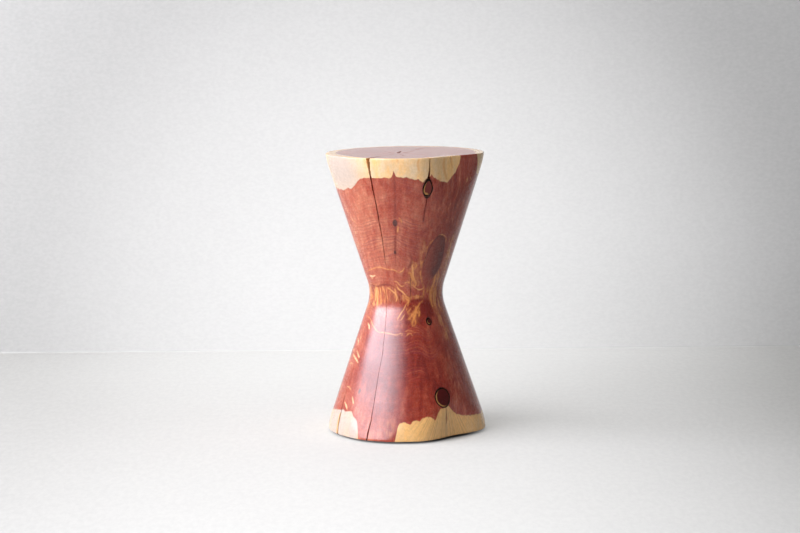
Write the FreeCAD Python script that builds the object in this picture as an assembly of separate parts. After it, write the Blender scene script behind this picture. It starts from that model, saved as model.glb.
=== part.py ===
"""Hourglass side table turned from one red cedar log, standing on four nailed felt glides.

The frame is +Z up, with the origin on the floor under the centre of the log.
Azimuths are in degrees from the front (-Y), positive towards +X. Lengths are in millimetres.
"""

import FreeCAD, Part
import math
import os

from FreeCAD import Vector

# The turned form
TABLE_HEIGHT = 508.0
LOG_RADIUS = 144.0
WAIST_RADIUS = 67.0
WAIST_HEIGHT = 253.0
WAIST_CURVE_RADIUS = 74.0
UPPER_FLARE_DEG = 18.0
LOWER_FLARE_DEG = 18.8
RIM_EASE = 2.0

# Flutes of the natural log, left standing where the turned form reaches its surface
FLUTE_AZIMUTH_DEG = 43.0
FLUTE_HALF_WIDTH_DEG = 40.0
FLUTE_DEPTH_AT_BASE = 22.0
FLUTE_DEPTH_AT_TOP = 19.0
REAR_FLUTE_AZIMUTH_DEG = 222.0
REAR_FLUTE_HALF_WIDTH_DEG = 36.0
REAR_FLUTE_DEPTH = 7.0
OUTLINE_POINTS = 48

# Drying checks: open cracks that are widest where they leave an end face
RIM_CHECK_AZIMUTH_DEG = -25.6
RIM_CHECK_TAIL_AZIMUTH_DEG = -22.8
RIM_CHECK_LENGTH = 196.0
RIM_CHECK_WIDTH = 6.4
RIM_CHECK_DEPTH = 58.0
KNOT_CHECK_LENGTH = 40.0
KNOT_CHECK_WIDTH = 2.4
KNOT_CHECK_WIDTH_AT_KNOT = 5.4
KNOT_CHECK_DEPTH = 30.0
BASE_CHECK_AZIMUTH_DEG = -29.0
BASE_CHECK_TAIL_AZIMUTH_DEG = -32.2
BASE_CHECK_LENGTH = 172.0
BASE_CHECK_WIDTH = 3.0
BASE_CHECK_DEPTH = 30.0
SIDE_CHECK_AZIMUTH_DEG = -61.0
SIDE_CHECK_TAIL_AZIMUTH_DEG = -64.6
SIDE_CHECK_LENGTH = 70.0
SIDE_CHECK_WIDTH = 3.2
SIDE_CHECK_DEPTH = 25.0
CHECK_TAIL_WIDTH = 0.9
CHECK_TAIL_DEPTH = 8.0
CHECK_OVERCUT = 4.0
NECK_SHARE = 0.35
NECK_NARROWING = 0.55

# Encased knots: stubs of dead branches, each in its own sleeve of bark
BARK_THICKNESS = 2.2
KNOT_TAPER_DEG = 4.0
KNOT_GAP = 0.15
BASE_KNOT_AZIMUTH_DEG = 31.6
BASE_KNOT_HEIGHT = 77.0
BASE_KNOT_RADIUS = 14.0
BASE_KNOT_LENGTH = 42.0
BASE_KNOT_RISE_DEG = 41.0
RIM_KNOT_AZIMUTH_DEG = 18.0
RIM_KNOT_DROP = 55.0
RIM_KNOT_RADIUS = 7.3
RIM_KNOT_LENGTH = 34.0
RIM_KNOT_RISE_DEG = 44.0
WAIST_KNOT_AZIMUTH_DEG = 31.5
WAIST_KNOT_DROP = 44.0
WAIST_KNOT_RADIUS = 3.4
WAIST_KNOT_LENGTH = 20.0
WAIST_KNOT_RISE_DEG = 58.0

# Feet: a felt disc glued under a nylon glide that a nail holds to the end grain
FOOT_NAMES = ("front", "right", "rear", "left")
FOOT_INSET = 36.0
FOOT_TURN_DEG = 15.0
FELT_RADIUS = 12.0
FELT_THICKNESS = 2.0
GLIDE_RADIUS = 13.0
GLIDE_THICKNESS = 2.0
GLIDE_EDGE = 0.6
NAIL_RADIUS = 1.2
NAIL_LENGTH = 20.0
NAIL_POINT_LENGTH = 4.0
NAIL_HEAD_RADIUS = 3.0
NAIL_HEAD_THICKNESS = 1.2

# Heights that follow from the sizes above
BASE_Z = FELT_THICKNESS + GLIDE_THICKNESS
RIM_Z = TABLE_HEIGHT
UP = Vector(0, 0, 1)


def outward(azimuth_deg):
    """Unit vector that points away from the log's centre at an azimuth."""
    angle = math.radians(azimuth_deg)
    return Vector(math.sin(angle), -math.cos(angle), 0)


def sideways(azimuth_deg):
    """Unit vector along the log's surface at an azimuth, towards larger azimuths."""
    angle = math.radians(azimuth_deg)
    return Vector(math.cos(angle), math.sin(angle), 0)


def flute(azimuth_deg, centre_deg, half_width_deg):
    """Share of a flute's depth at an azimuth: 1 on its line and 0 beyond its half width."""
    off = (azimuth_deg - centre_deg + 180.0) % 360.0 - 180.0
    if abs(off) >= half_width_deg:
        return 0.0
    return math.cos(math.radians(90.0 * off / half_width_deg)) ** 2


def log_radius(azimuth_deg, height):
    """Radius of the natural log surface."""
    rise = (height - BASE_Z) / (RIM_Z - BASE_Z)
    front_depth = FLUTE_DEPTH_AT_BASE + (FLUTE_DEPTH_AT_TOP - FLUTE_DEPTH_AT_BASE) * rise
    front = front_depth * flute(azimuth_deg, FLUTE_AZIMUTH_DEG, FLUTE_HALF_WIDTH_DEG)
    rear = REAR_FLUTE_DEPTH * flute(azimuth_deg, REAR_FLUTE_AZIMUTH_DEG, REAR_FLUTE_HALF_WIDTH_DEG)
    return LOG_RADIUS - front - rear


def waist_tangent(flare_deg):
    """Radius, and height above or below the waist, at which the waist's curve meets a cone."""
    flare = math.radians(flare_deg)
    return (
        WAIST_RADIUS + WAIST_CURVE_RADIUS * (1.0 - math.cos(flare)),
        WAIST_CURVE_RADIUS * math.sin(flare),
    )


def turned_radius(height):
    """Radius of the turned hourglass."""
    above = height - WAIST_HEIGHT
    flare_deg = UPPER_FLARE_DEG if above > 0 else LOWER_FLARE_DEG
    tangent_radius, tangent_rise = waist_tangent(flare_deg)
    if abs(above) <= tangent_rise:
        return WAIST_RADIUS + WAIST_CURVE_RADIUS - math.sqrt(WAIST_CURVE_RADIUS**2 - above**2)
    return tangent_radius + (abs(above) - tangent_rise) * math.tan(math.radians(flare_deg))


def surface_radius(azimuth_deg, height):
    """Radius of the finished stump: the turned form, or the log where that is smaller."""
    return min(turned_radius(height), log_radius(azimuth_deg, height))


def surface_point(azimuth_deg, height):
    """Point on the finished stump's side."""
    return outward(azimuth_deg) * surface_radius(azimuth_deg, height) + UP * height


def log_outline(height, inset):
    """Closed outline of the log at a height, drawn in by an inset."""
    points = []
    for index in range(OUTLINE_POINTS):
        azimuth_deg = 360.0 * index / OUTLINE_POINTS
        radius = log_radius(azimuth_deg, height) - inset
        points.append(outward(azimuth_deg) * radius + UP * height)
    curve = Part.BSplineCurve()
    curve.interpolate(Points=points, PeriodicFlag=True)
    return Part.Wire([curve.toShape()])


def make_log():
    """The log between its two end cuts, with eased edges."""
    sections = [
        log_outline(BASE_Z, RIM_EASE),
        log_outline(BASE_Z + RIM_EASE, 0.0),
        log_outline(RIM_Z - RIM_EASE, 0.0),
        log_outline(RIM_Z, RIM_EASE),
    ]
    return Part.makeLoft(sections, True, True)


def make_hourglass():
    """The turned form: two cones that meet in a round waist, with eased edges."""
    base_radius = turned_radius(BASE_Z + RIM_EASE)
    rim_radius = turned_radius(RIM_Z - RIM_EASE)
    lower_radius, lower_rise = waist_tangent(LOWER_FLARE_DEG)
    upper_radius, upper_rise = waist_tangent(UPPER_FLARE_DEG)
    base_centre = Vector(0, 0, BASE_Z)
    base_ease = Vector(base_radius - RIM_EASE, 0, BASE_Z)
    base_edge = Vector(base_radius, 0, BASE_Z + RIM_EASE)
    lower_end = Vector(lower_radius, 0, WAIST_HEIGHT - lower_rise)
    waist = Vector(WAIST_RADIUS, 0, WAIST_HEIGHT)
    upper_end = Vector(upper_radius, 0, WAIST_HEIGHT + upper_rise)
    rim_edge = Vector(rim_radius, 0, RIM_Z - RIM_EASE)
    rim_ease = Vector(rim_radius - RIM_EASE, 0, RIM_Z)
    rim_centre = Vector(0, 0, RIM_Z)
    profile = Part.Wire(
        [
            Part.makeLine(base_centre, base_ease),
            Part.makeLine(base_ease, base_edge),
            Part.makeLine(base_edge, lower_end),
            Part.Arc(lower_end, waist, upper_end).toShape(),
            Part.makeLine(upper_end, rim_edge),
            Part.makeLine(rim_edge, rim_ease),
            Part.makeLine(rim_ease, rim_centre),
            Part.makeLine(rim_centre, base_centre),
        ]
    )
    return Part.Face(profile).revolve(Vector(0, 0, 0), UP, 360.0)


def check_section(azimuth_deg, height, width, depth):
    """Triangle across a check: its width at the surface, its point at its depth."""
    radius = surface_radius(azimuth_deg, min(max(height, BASE_Z), RIM_Z))
    half_mouth = 0.5 * width * (depth + CHECK_OVERCUT) / depth
    mouth = outward(azimuth_deg) * (radius + CHECK_OVERCUT) + UP * height
    tip = outward(azimuth_deg) * (radius - depth) + UP * height
    left = mouth - sideways(azimuth_deg) * half_mouth
    right = mouth + sideways(azimuth_deg) * half_mouth
    return Part.makePolygon([left, right, tip, left])


def make_check(azimuths_deg, heights, widths, depths):
    """Blade that cuts one check. Each pair gives a value at the end face and at the check's tail."""
    direction = 1.0 if heights[0] > heights[1] else -1.0
    neck_azimuth_deg, neck_height, neck_depth = (
        end + NECK_SHARE * (tail - end) for end, tail in (azimuths_deg, heights, depths)
    )
    neck_width = NECK_NARROWING * widths[0] + NECK_SHARE * (widths[1] - NECK_NARROWING * widths[0])
    sections = [
        check_section(azimuths_deg[0], heights[0] + direction * CHECK_OVERCUT, widths[0], depths[0]),
        check_section(neck_azimuth_deg, neck_height, neck_width, neck_depth),
        check_section(azimuths_deg[1], heights[1], widths[1], depths[1]),
    ]
    return Part.makeLoft(sections, True, True)


def make_checks():
    """Blades of every open check."""
    rim_check = make_check(
        (RIM_CHECK_AZIMUTH_DEG, RIM_CHECK_TAIL_AZIMUTH_DEG),
        (RIM_Z, RIM_Z - RIM_CHECK_LENGTH),
        (RIM_CHECK_WIDTH, CHECK_TAIL_WIDTH),
        (RIM_CHECK_DEPTH, CHECK_TAIL_DEPTH),
    )
    knot_check = make_check(
        (RIM_KNOT_AZIMUTH_DEG, RIM_KNOT_AZIMUTH_DEG),
        (RIM_Z, RIM_Z - KNOT_CHECK_LENGTH),
        (KNOT_CHECK_WIDTH, KNOT_CHECK_WIDTH_AT_KNOT),
        (KNOT_CHECK_DEPTH, KNOT_CHECK_DEPTH),
    )
    base_check = make_check(
        (BASE_CHECK_AZIMUTH_DEG, BASE_CHECK_TAIL_AZIMUTH_DEG),
        (BASE_Z, BASE_Z + BASE_CHECK_LENGTH),
        (BASE_CHECK_WIDTH, CHECK_TAIL_WIDTH),
        (BASE_CHECK_DEPTH, CHECK_TAIL_DEPTH),
    )
    side_check = make_check(
        (SIDE_CHECK_AZIMUTH_DEG, SIDE_CHECK_TAIL_AZIMUTH_DEG),
        (BASE_Z, BASE_Z + SIDE_CHECK_LENGTH),
        (SIDE_CHECK_WIDTH, CHECK_TAIL_WIDTH),
        (SIDE_CHECK_DEPTH, CHECK_TAIL_DEPTH),
    )
    return [rim_check, knot_check, base_check, side_check]


def branch_cone(azimuth_deg, height, radius, length, rise_deg):
    """Tapered stub of a branch that climbs outwards, from its inner end to outside the stump."""
    rise = math.radians(rise_deg)
    axis = outward(azimuth_deg) * math.cos(rise) + UP * math.sin(rise)
    outside = 2.0 * radius / math.cos(rise)
    taper = math.tan(math.radians(KNOT_TAPER_DEG))
    start = surface_point(azimuth_deg, height) - axis * length
    return Part.makeCone(radius - length * taper, radius + outside * taper, length + outside, start, axis)


def make_knot(form, azimuth_deg, height, radius, length, rise_deg):
    """One encased knot: the branch stub, its bark sleeve and the pocket that holds them."""
    place = (azimuth_deg, height)
    pocket = branch_cone(*place, radius + BARK_THICKNESS + 2.0 * KNOT_GAP, length, rise_deg)
    sleeve = branch_cone(*place, radius + BARK_THICKNESS + KNOT_GAP, length - KNOT_GAP, rise_deg)
    core = branch_cone(*place, radius + KNOT_GAP, length - KNOT_GAP, rise_deg)
    stub = branch_cone(*place, radius, length - KNOT_GAP, rise_deg)
    return {
        "pocket": pocket,
        "bark": sleeve.cut(core).common(form),
        "wood": stub.common(form),
    }


def make_knots(form):
    """The three encased knots, by name."""
    return {
        "base_knot": make_knot(
            form,
            BASE_KNOT_AZIMUTH_DEG,
            BASE_KNOT_HEIGHT,
            BASE_KNOT_RADIUS,
            BASE_KNOT_LENGTH,
            BASE_KNOT_RISE_DEG,
        ),
        "rim_knot": make_knot(
            form,
            RIM_KNOT_AZIMUTH_DEG,
            RIM_Z - RIM_KNOT_DROP,
            RIM_KNOT_RADIUS,
            RIM_KNOT_LENGTH,
            RIM_KNOT_RISE_DEG,
        ),
        "waist_knot": make_knot(
            form,
            WAIST_KNOT_AZIMUTH_DEG,
            WAIST_HEIGHT - WAIST_KNOT_DROP,
            WAIST_KNOT_RADIUS,
            WAIST_KNOT_LENGTH,
            WAIST_KNOT_RISE_DEG,
        ),
    }


def foot_centre(index):
    """Point on the floor under one foot."""
    azimuth_deg = FOOT_TURN_DEG + 360.0 * index / len(FOOT_NAMES)
    return outward(azimuth_deg) * (LOG_RADIUS - FOOT_INSET)


def revolved(points):
    """Solid of revolution about +Z of a closed (radius, height) outline."""
    corners = [Vector(radius, 0, height) for radius, height in points]
    return Part.Face(Part.makePolygon(corners + corners[:1])).revolve(Vector(0, 0, 0), UP, 360.0)


def make_felt():
    """Felt disc on the floor."""
    return Part.makeCylinder(FELT_RADIUS, FELT_THICKNESS)


def make_nail():
    """Flat countersunk nail, its head flush with the glide's lower face."""
    head_z = FELT_THICKNESS
    tip_z = head_z + NAIL_LENGTH
    return revolved(
        [
            (0.0, head_z),
            (NAIL_HEAD_RADIUS, head_z),
            (NAIL_RADIUS, head_z + NAIL_HEAD_THICKNESS),
            (NAIL_RADIUS, tip_z - NAIL_POINT_LENGTH),
            (0.0, tip_z),
        ]
    )


def make_glide(nail):
    """Nylon disc with rounded-off lower edge and a countersunk hole that the nail fills."""
    low, high = FELT_THICKNESS, BASE_Z
    disc = revolved(
        [
            (0.0, low),
            (GLIDE_RADIUS - GLIDE_EDGE, low),
            (GLIDE_RADIUS, low + GLIDE_EDGE),
            (GLIDE_RADIUS, high),
            (0.0, high),
        ]
    )
    return disc.cut(nail)


def placed(shape, centre):
    """Copy of a shape moved to a foot's centre."""
    copy = shape.copy()
    copy.translate(centre)
    return copy


def build():
    """Every node of the table, by name."""
    form = make_hourglass().common(make_log())
    knots = make_knots(form)
    nail = make_nail()
    glide = make_glide(nail)
    felt = make_felt()
    centres = [foot_centre(index) for index in range(len(FOOT_NAMES))]
    nails = [placed(nail, centre) for centre in centres]
    cutters = make_checks() + [knot["pocket"] for knot in knots.values()] + nails
    nodes = {"stump_body": form.cut(cutters)}
    for name, knot in knots.items():
        nodes[name] = knot["wood"]
        nodes[name + "_bark"] = knot["bark"]
    for name, centre in zip(FOOT_NAMES, centres):
        nodes["glide_" + name] = placed(glide, centre)
        nodes["felt_" + name] = placed(felt, centre)
    nodes["glide_nails"] = Part.makeCompound(nails)
    return nodes


def main():
    os.makedirs("parts", exist_ok=True)
    for name, shape in build().items():
        shape.exportStep("parts/" + name + ".step")
        box = shape.BoundBox
        print(
            f"{name}: {len(shape.Solids)} solid(s), valid {shape.isValid()}, {shape.Volume / 1000.0:.2f} cm3, "
            f"x {box.XMin:.2f} to {box.XMax:.2f}, y {box.YMin:.2f} to {box.YMax:.2f}, "
            f"z {box.ZMin:.2f} to {box.ZMax:.2f}"
        )


main()
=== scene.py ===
"""Looks of the stump side table: one turned red cedar log with checks, knots and felt glides.

The frame is the part's own: metres, +Z up, the floor at zero. Lengths are in millimetres and azimuths in
degrees from the front (-Y), positive towards +X, until a mesh is written.
"""

import math
from types import SimpleNamespace

import bpy
import numpy as np
from mathutils import Matrix, Vector


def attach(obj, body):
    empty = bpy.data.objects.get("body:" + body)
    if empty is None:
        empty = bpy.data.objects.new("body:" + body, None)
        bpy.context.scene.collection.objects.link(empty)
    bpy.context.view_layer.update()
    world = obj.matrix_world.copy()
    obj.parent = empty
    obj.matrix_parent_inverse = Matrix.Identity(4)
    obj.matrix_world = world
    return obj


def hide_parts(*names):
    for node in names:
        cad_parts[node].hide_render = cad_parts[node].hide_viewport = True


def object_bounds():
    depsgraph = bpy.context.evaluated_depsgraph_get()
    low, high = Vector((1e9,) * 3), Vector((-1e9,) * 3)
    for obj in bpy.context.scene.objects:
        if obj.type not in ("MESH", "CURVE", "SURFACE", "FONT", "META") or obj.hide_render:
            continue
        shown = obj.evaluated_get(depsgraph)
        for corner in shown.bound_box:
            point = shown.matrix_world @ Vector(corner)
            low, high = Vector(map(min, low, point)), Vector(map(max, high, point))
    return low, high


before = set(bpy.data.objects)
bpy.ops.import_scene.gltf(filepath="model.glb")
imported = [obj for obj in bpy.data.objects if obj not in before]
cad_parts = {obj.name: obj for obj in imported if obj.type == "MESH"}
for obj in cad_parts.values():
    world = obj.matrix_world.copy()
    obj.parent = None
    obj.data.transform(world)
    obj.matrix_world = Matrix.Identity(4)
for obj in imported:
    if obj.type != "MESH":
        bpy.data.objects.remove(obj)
cad_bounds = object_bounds()
MM = 0.001
UP = np.array([0.0, 0.0, 1.0])

# The turned form, with the sizes of the part's source
LOG_RADIUS = 144.0
WAIST_RADIUS = 67.0
WAIST_HEIGHT = 253.0
WAIST_CURVE_RADIUS = 74.0
UPPER_FLARE_DEG = 18.0
LOWER_FLARE_DEG = 18.8
RIM_EASE = 2.0
BASE_Z = 4.0
RIM_Z = cad_bounds[1].z / MM
# Flutes of the log, and a swell: azimuth, half width, depth at the base and at the top
FLUTES = ((43.0, 40.0, 22.0, 19.0), (222.0, 36.0, 7.0, 7.0), (-25.0, 27.0, -12.0, 0.0))
CREASE_BLEND = 7.0

# Mesh rows and columns: close together where the photo shows fine marks
FRONT_STEP_DEG = 0.72
BACK_STEP_DEG = 2.4
FRONT_HALF_DEG = 96.48
FINE_LOW = 176.0
FINE_HIGH = 336.0
FINE_STEP = 1.3
COARSE_STEP = 2.5
BLADE_STEP = 3.2
STUMP_SHARP_DEG = 38.0
# Rings of the faces, as shares of their radius
BOTTOM_SHARES = (0.2, 0.4, 0.6, 0.75, 0.88)
TOP_SHARES = np.linspace(1.0, 0.05, 20)
# Checks: how far a blade strays to the side, and by what share its width varies
BLADE_STRAY = 0.45
BLADE_UNEVEN = 0.18
TOP_BLADE_POINTS = 14
TOP_BLADE_STRAY = 0.35
# Knots: columns and rings of the wood and of its bark, and cracks in the wood
STUB_COLUMNS = 72
STUB_RINGS = 18
STUB_CRACKS = 5
SLEEVE_COLUMNS = 96
SLEEVE_RINGS = 6
# Search for the surface along a branch: reach to both sides and halvings
SEARCH_REACH = 60.0
SEARCH_STEPS = 40
# First seeds of the checks, the top checks, the knots' wood and their bark
SEEDS = (11, 71, 31, 41)

# Where the red heartwood ends and the pale sapwood starts: azimuth, height on the turned form
UPPER_SAP_LINE = (
    (-72, 446), (-61, 445), (-53, 450), (-48, 450), (-41, 461), (-37, 469), (-33, 472), (-24, 471),
    (-16, 474), (-12, 472), (-9.6, 477), (-8.5, 487), (-7.4, 477), (-5.6, 474), (0, 473), (6, 470),
    (10, 470), (12, 466), (14, 464), (17, 468), (20, 477), (25, 469), (28, 465), (32, 463), (36, 462),
    (39, 465), (41, 471), (45, 475), (47.5, 484), (50, 494), (51.5, 512), (57, 520), (68, 514), (69.5, 495),
    (71, 474), (80, 465), (95, 452), (115, 460), (128, 471), (135, 470), (150, 458), (170, 449), (190, 462),
    (205, 470), (222, 480), (238, 466), (255, 452), (270, 448),
)
LOWER_SAP_LINE = (
    (-85, 42), (-67, 47), (-60, 50), (-57, 47), (-51, 50), (-48, 48), (-46, 43), (-41, 35), (-39, 24),
    (-37, 6), (-34, -12), (-22, -16), (-11, -10), (-9, 5), (-8, 19), (-7, 31), (-6, 37), (-3, 40), (0, 38),
    (2, 35), (4, 41), (7, 42), (9, 41), (12, 46), (18, 47), (20, 43), (22, 40), (25, 51), (28, 59), (32, 60),
    (37, 60), (42, 51), (47, 43), (51, 39), (55, 39), (59, 36), (62, 36), (67, 38), (72, 34), (86, 36),
    (105, 44), (125, 30), (138, 12), (150, 2), (160, 18), (178, 40), (200, 46), (222, 52), (240, 40),
    (258, 36),
)
# Heights between which the lower line gives way to the upper one
SAP_BLEND = (110.0, 390.0)
# The pith. Inner rings lie round it, and rings from a radius on lie round the axis
PITH = (-14.0, -29.0)
AXIS_RADIUS = 140.0
# Rings follow the sapwood's line: usual radius of the heartwood, reach inwards, share
HEART_FOLLOW = (133.0, 22.0, 0.8)
# Rings bulge where the encased knots stand above each other: azimuth, half width in degrees, bulge
KNOT_COLUMN = (29.0, 11.0, 9.0)

# Open checks: azimuth, height, width and depth along each
CHECKS = (
    ((-27.4, 512, 6.6, 58), (-27, 496, 5, 56), (-27, 474, 2.8, 50), (-26.3, 440, 2.2, 40),
     (-25.6, 404, 1.9, 30), (-25.1, 371, 1.6, 22), (-25.5, 336, 1, 12), (-25.9, 314, 0.6, 7)),
    ((18.3, 512, 2.3, 30), (18.4, 495, 2.4, 30), (18.3, 486, 3, 30), (18.1, 475, 5.2, 28),
     (18, 464, 8.2, 26)),
    ((18.2, 441, 1.9, 12), (17.9, 428, 1.1, 10), (17.2, 412, 0.9, 7), (16.6, 392, 0.4, 4)),
    ((-29.5, 0, 3.2, 30), (-29.5, 22, 2.2, 28), (-28.4, 40, 1.2, 22), (-28, 85, 0.7, 12), (-28, 119, 0.6, 9),
     (-26.6, 153, 0.5, 6), (-27.5, 192, 0.5, 5), (-29.8, 227, 0.6, 5), (-33, 256, 0.8, 6),
     (-33.5, 272, 0.7, 5), (-33.5, 284, 0.4, 3)),
    ((-61, 0, 4.4, 25), (-62.4, 30, 3.2, 22), (-63.2, 51, 2, 18), (-64.4, 73, 1.3, 12), (-65, 96, 0.5, 4)),
    ((5.9, 289, 0.4, 3), (7, 266, 0.9, 5), (7.2, 243, 0.5, 3)),
    ((40.4, 512, 2.6, 12), (40.5, 500, 1.8, 8), (40.6, 490, 0.5, 3)),
    ((33.8, 50, 0.5, 4), (33.8, 38, 1.6, 7), (33.6, 25, 0.6, 4)),
    ((128, 512, 2.2, 40), (127.2, 470, 1.5, 22), (126, 415, 0.5, 5)),
    ((196, 0, 2.6, 26), (196.8, 48, 1.8, 16), (198, 112, 0.5, 5)),
    ((262, 512, 1.8, 30), (262.6, 484, 1.2, 16), (263.2, 452, 0.5, 4)),
)
CHECK_OVERCUT = 4.0
# Hairline checks on the top face: azimuth, inner and outer distance from the pith, width
TOP_CHECKS = (
    (172, 2, 50, 6), (148, 14, 56, 3), (157, 62, 130, 2), (-62, 6, 74, 1.2), (-30, 5, 46, 1.3),
    (12, 4, 60, 1), (58, 7, 96, 1.4), (104, 4, 70, 1.2), (205, 8, 64, 1), (244, 6, 88, 1.2),
)
TOP_CHECK_DEPTH = 5.0
TOP_OVERCUT = 2.0

# Encased knots: azimuth, height, radius, length, rise of the branch, power of the outline (2 is round) and
# the share by which the wood falls short of its sleeve at the lower end
KNOTS = {
    "base_knot": (31.6, 77.0, 14.0, 42.0, 41.0, 2.0, 0.0),
    "rim_knot": (18.0, RIM_Z - 55.0, 7.3, 34.0, 44.0, 1.6, 0.30),
    "waist_knot": (31.5, WAIST_HEIGHT - 44.0, 3.4, 20.0, 58.0, 1.8, 0.0),
}
BARK_THICKNESS = 2.2
KNOT_TAPER = math.tan(math.radians(4.0))
KNOT_GAP = 0.15
GILD_ANGLE = math.radians(212.0)
DARK_RIM_REACH = 0.9
# Knots that are grown in: azimuth, height, half width, half height, lean towards larger azimuths
LIVE_KNOTS = (
    (36.8, 325, 20.5, 42, 0.1), (158, 178, 11, 19, -0.1), (236, 372, 13, 25, 0.2),
)
# Level that counts as far from every grown-in knot
FAR_LEVEL = 9.0
# Pin knots: azimuth, height, radius
PIN_KNOTS = (
    (-10, 391, 4.2), (-12.3, 337, 2.2), (-45.4, 86, 3), (118, 330, 4), (204, 140, 3.6),
)
# Where the rings rise to a peak: azimuth, rise, fade in degrees, heights where it starts and is full
RING_PEAKS = ((-1.0, 1.2, 5.0, 215, 195), (-23.0, 1.5, 9.0, 330, 345))
# The pin knots' trace up the front: heights and azimuths of its course, and its peak
TRACE = ((318, 391, 486), (-12.8, -10.0, -8.5))
TRACE_PEAK = (4.2, 9.0, 300, 340)
STRAND_HALF_WIDTH = 4.5

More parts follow.
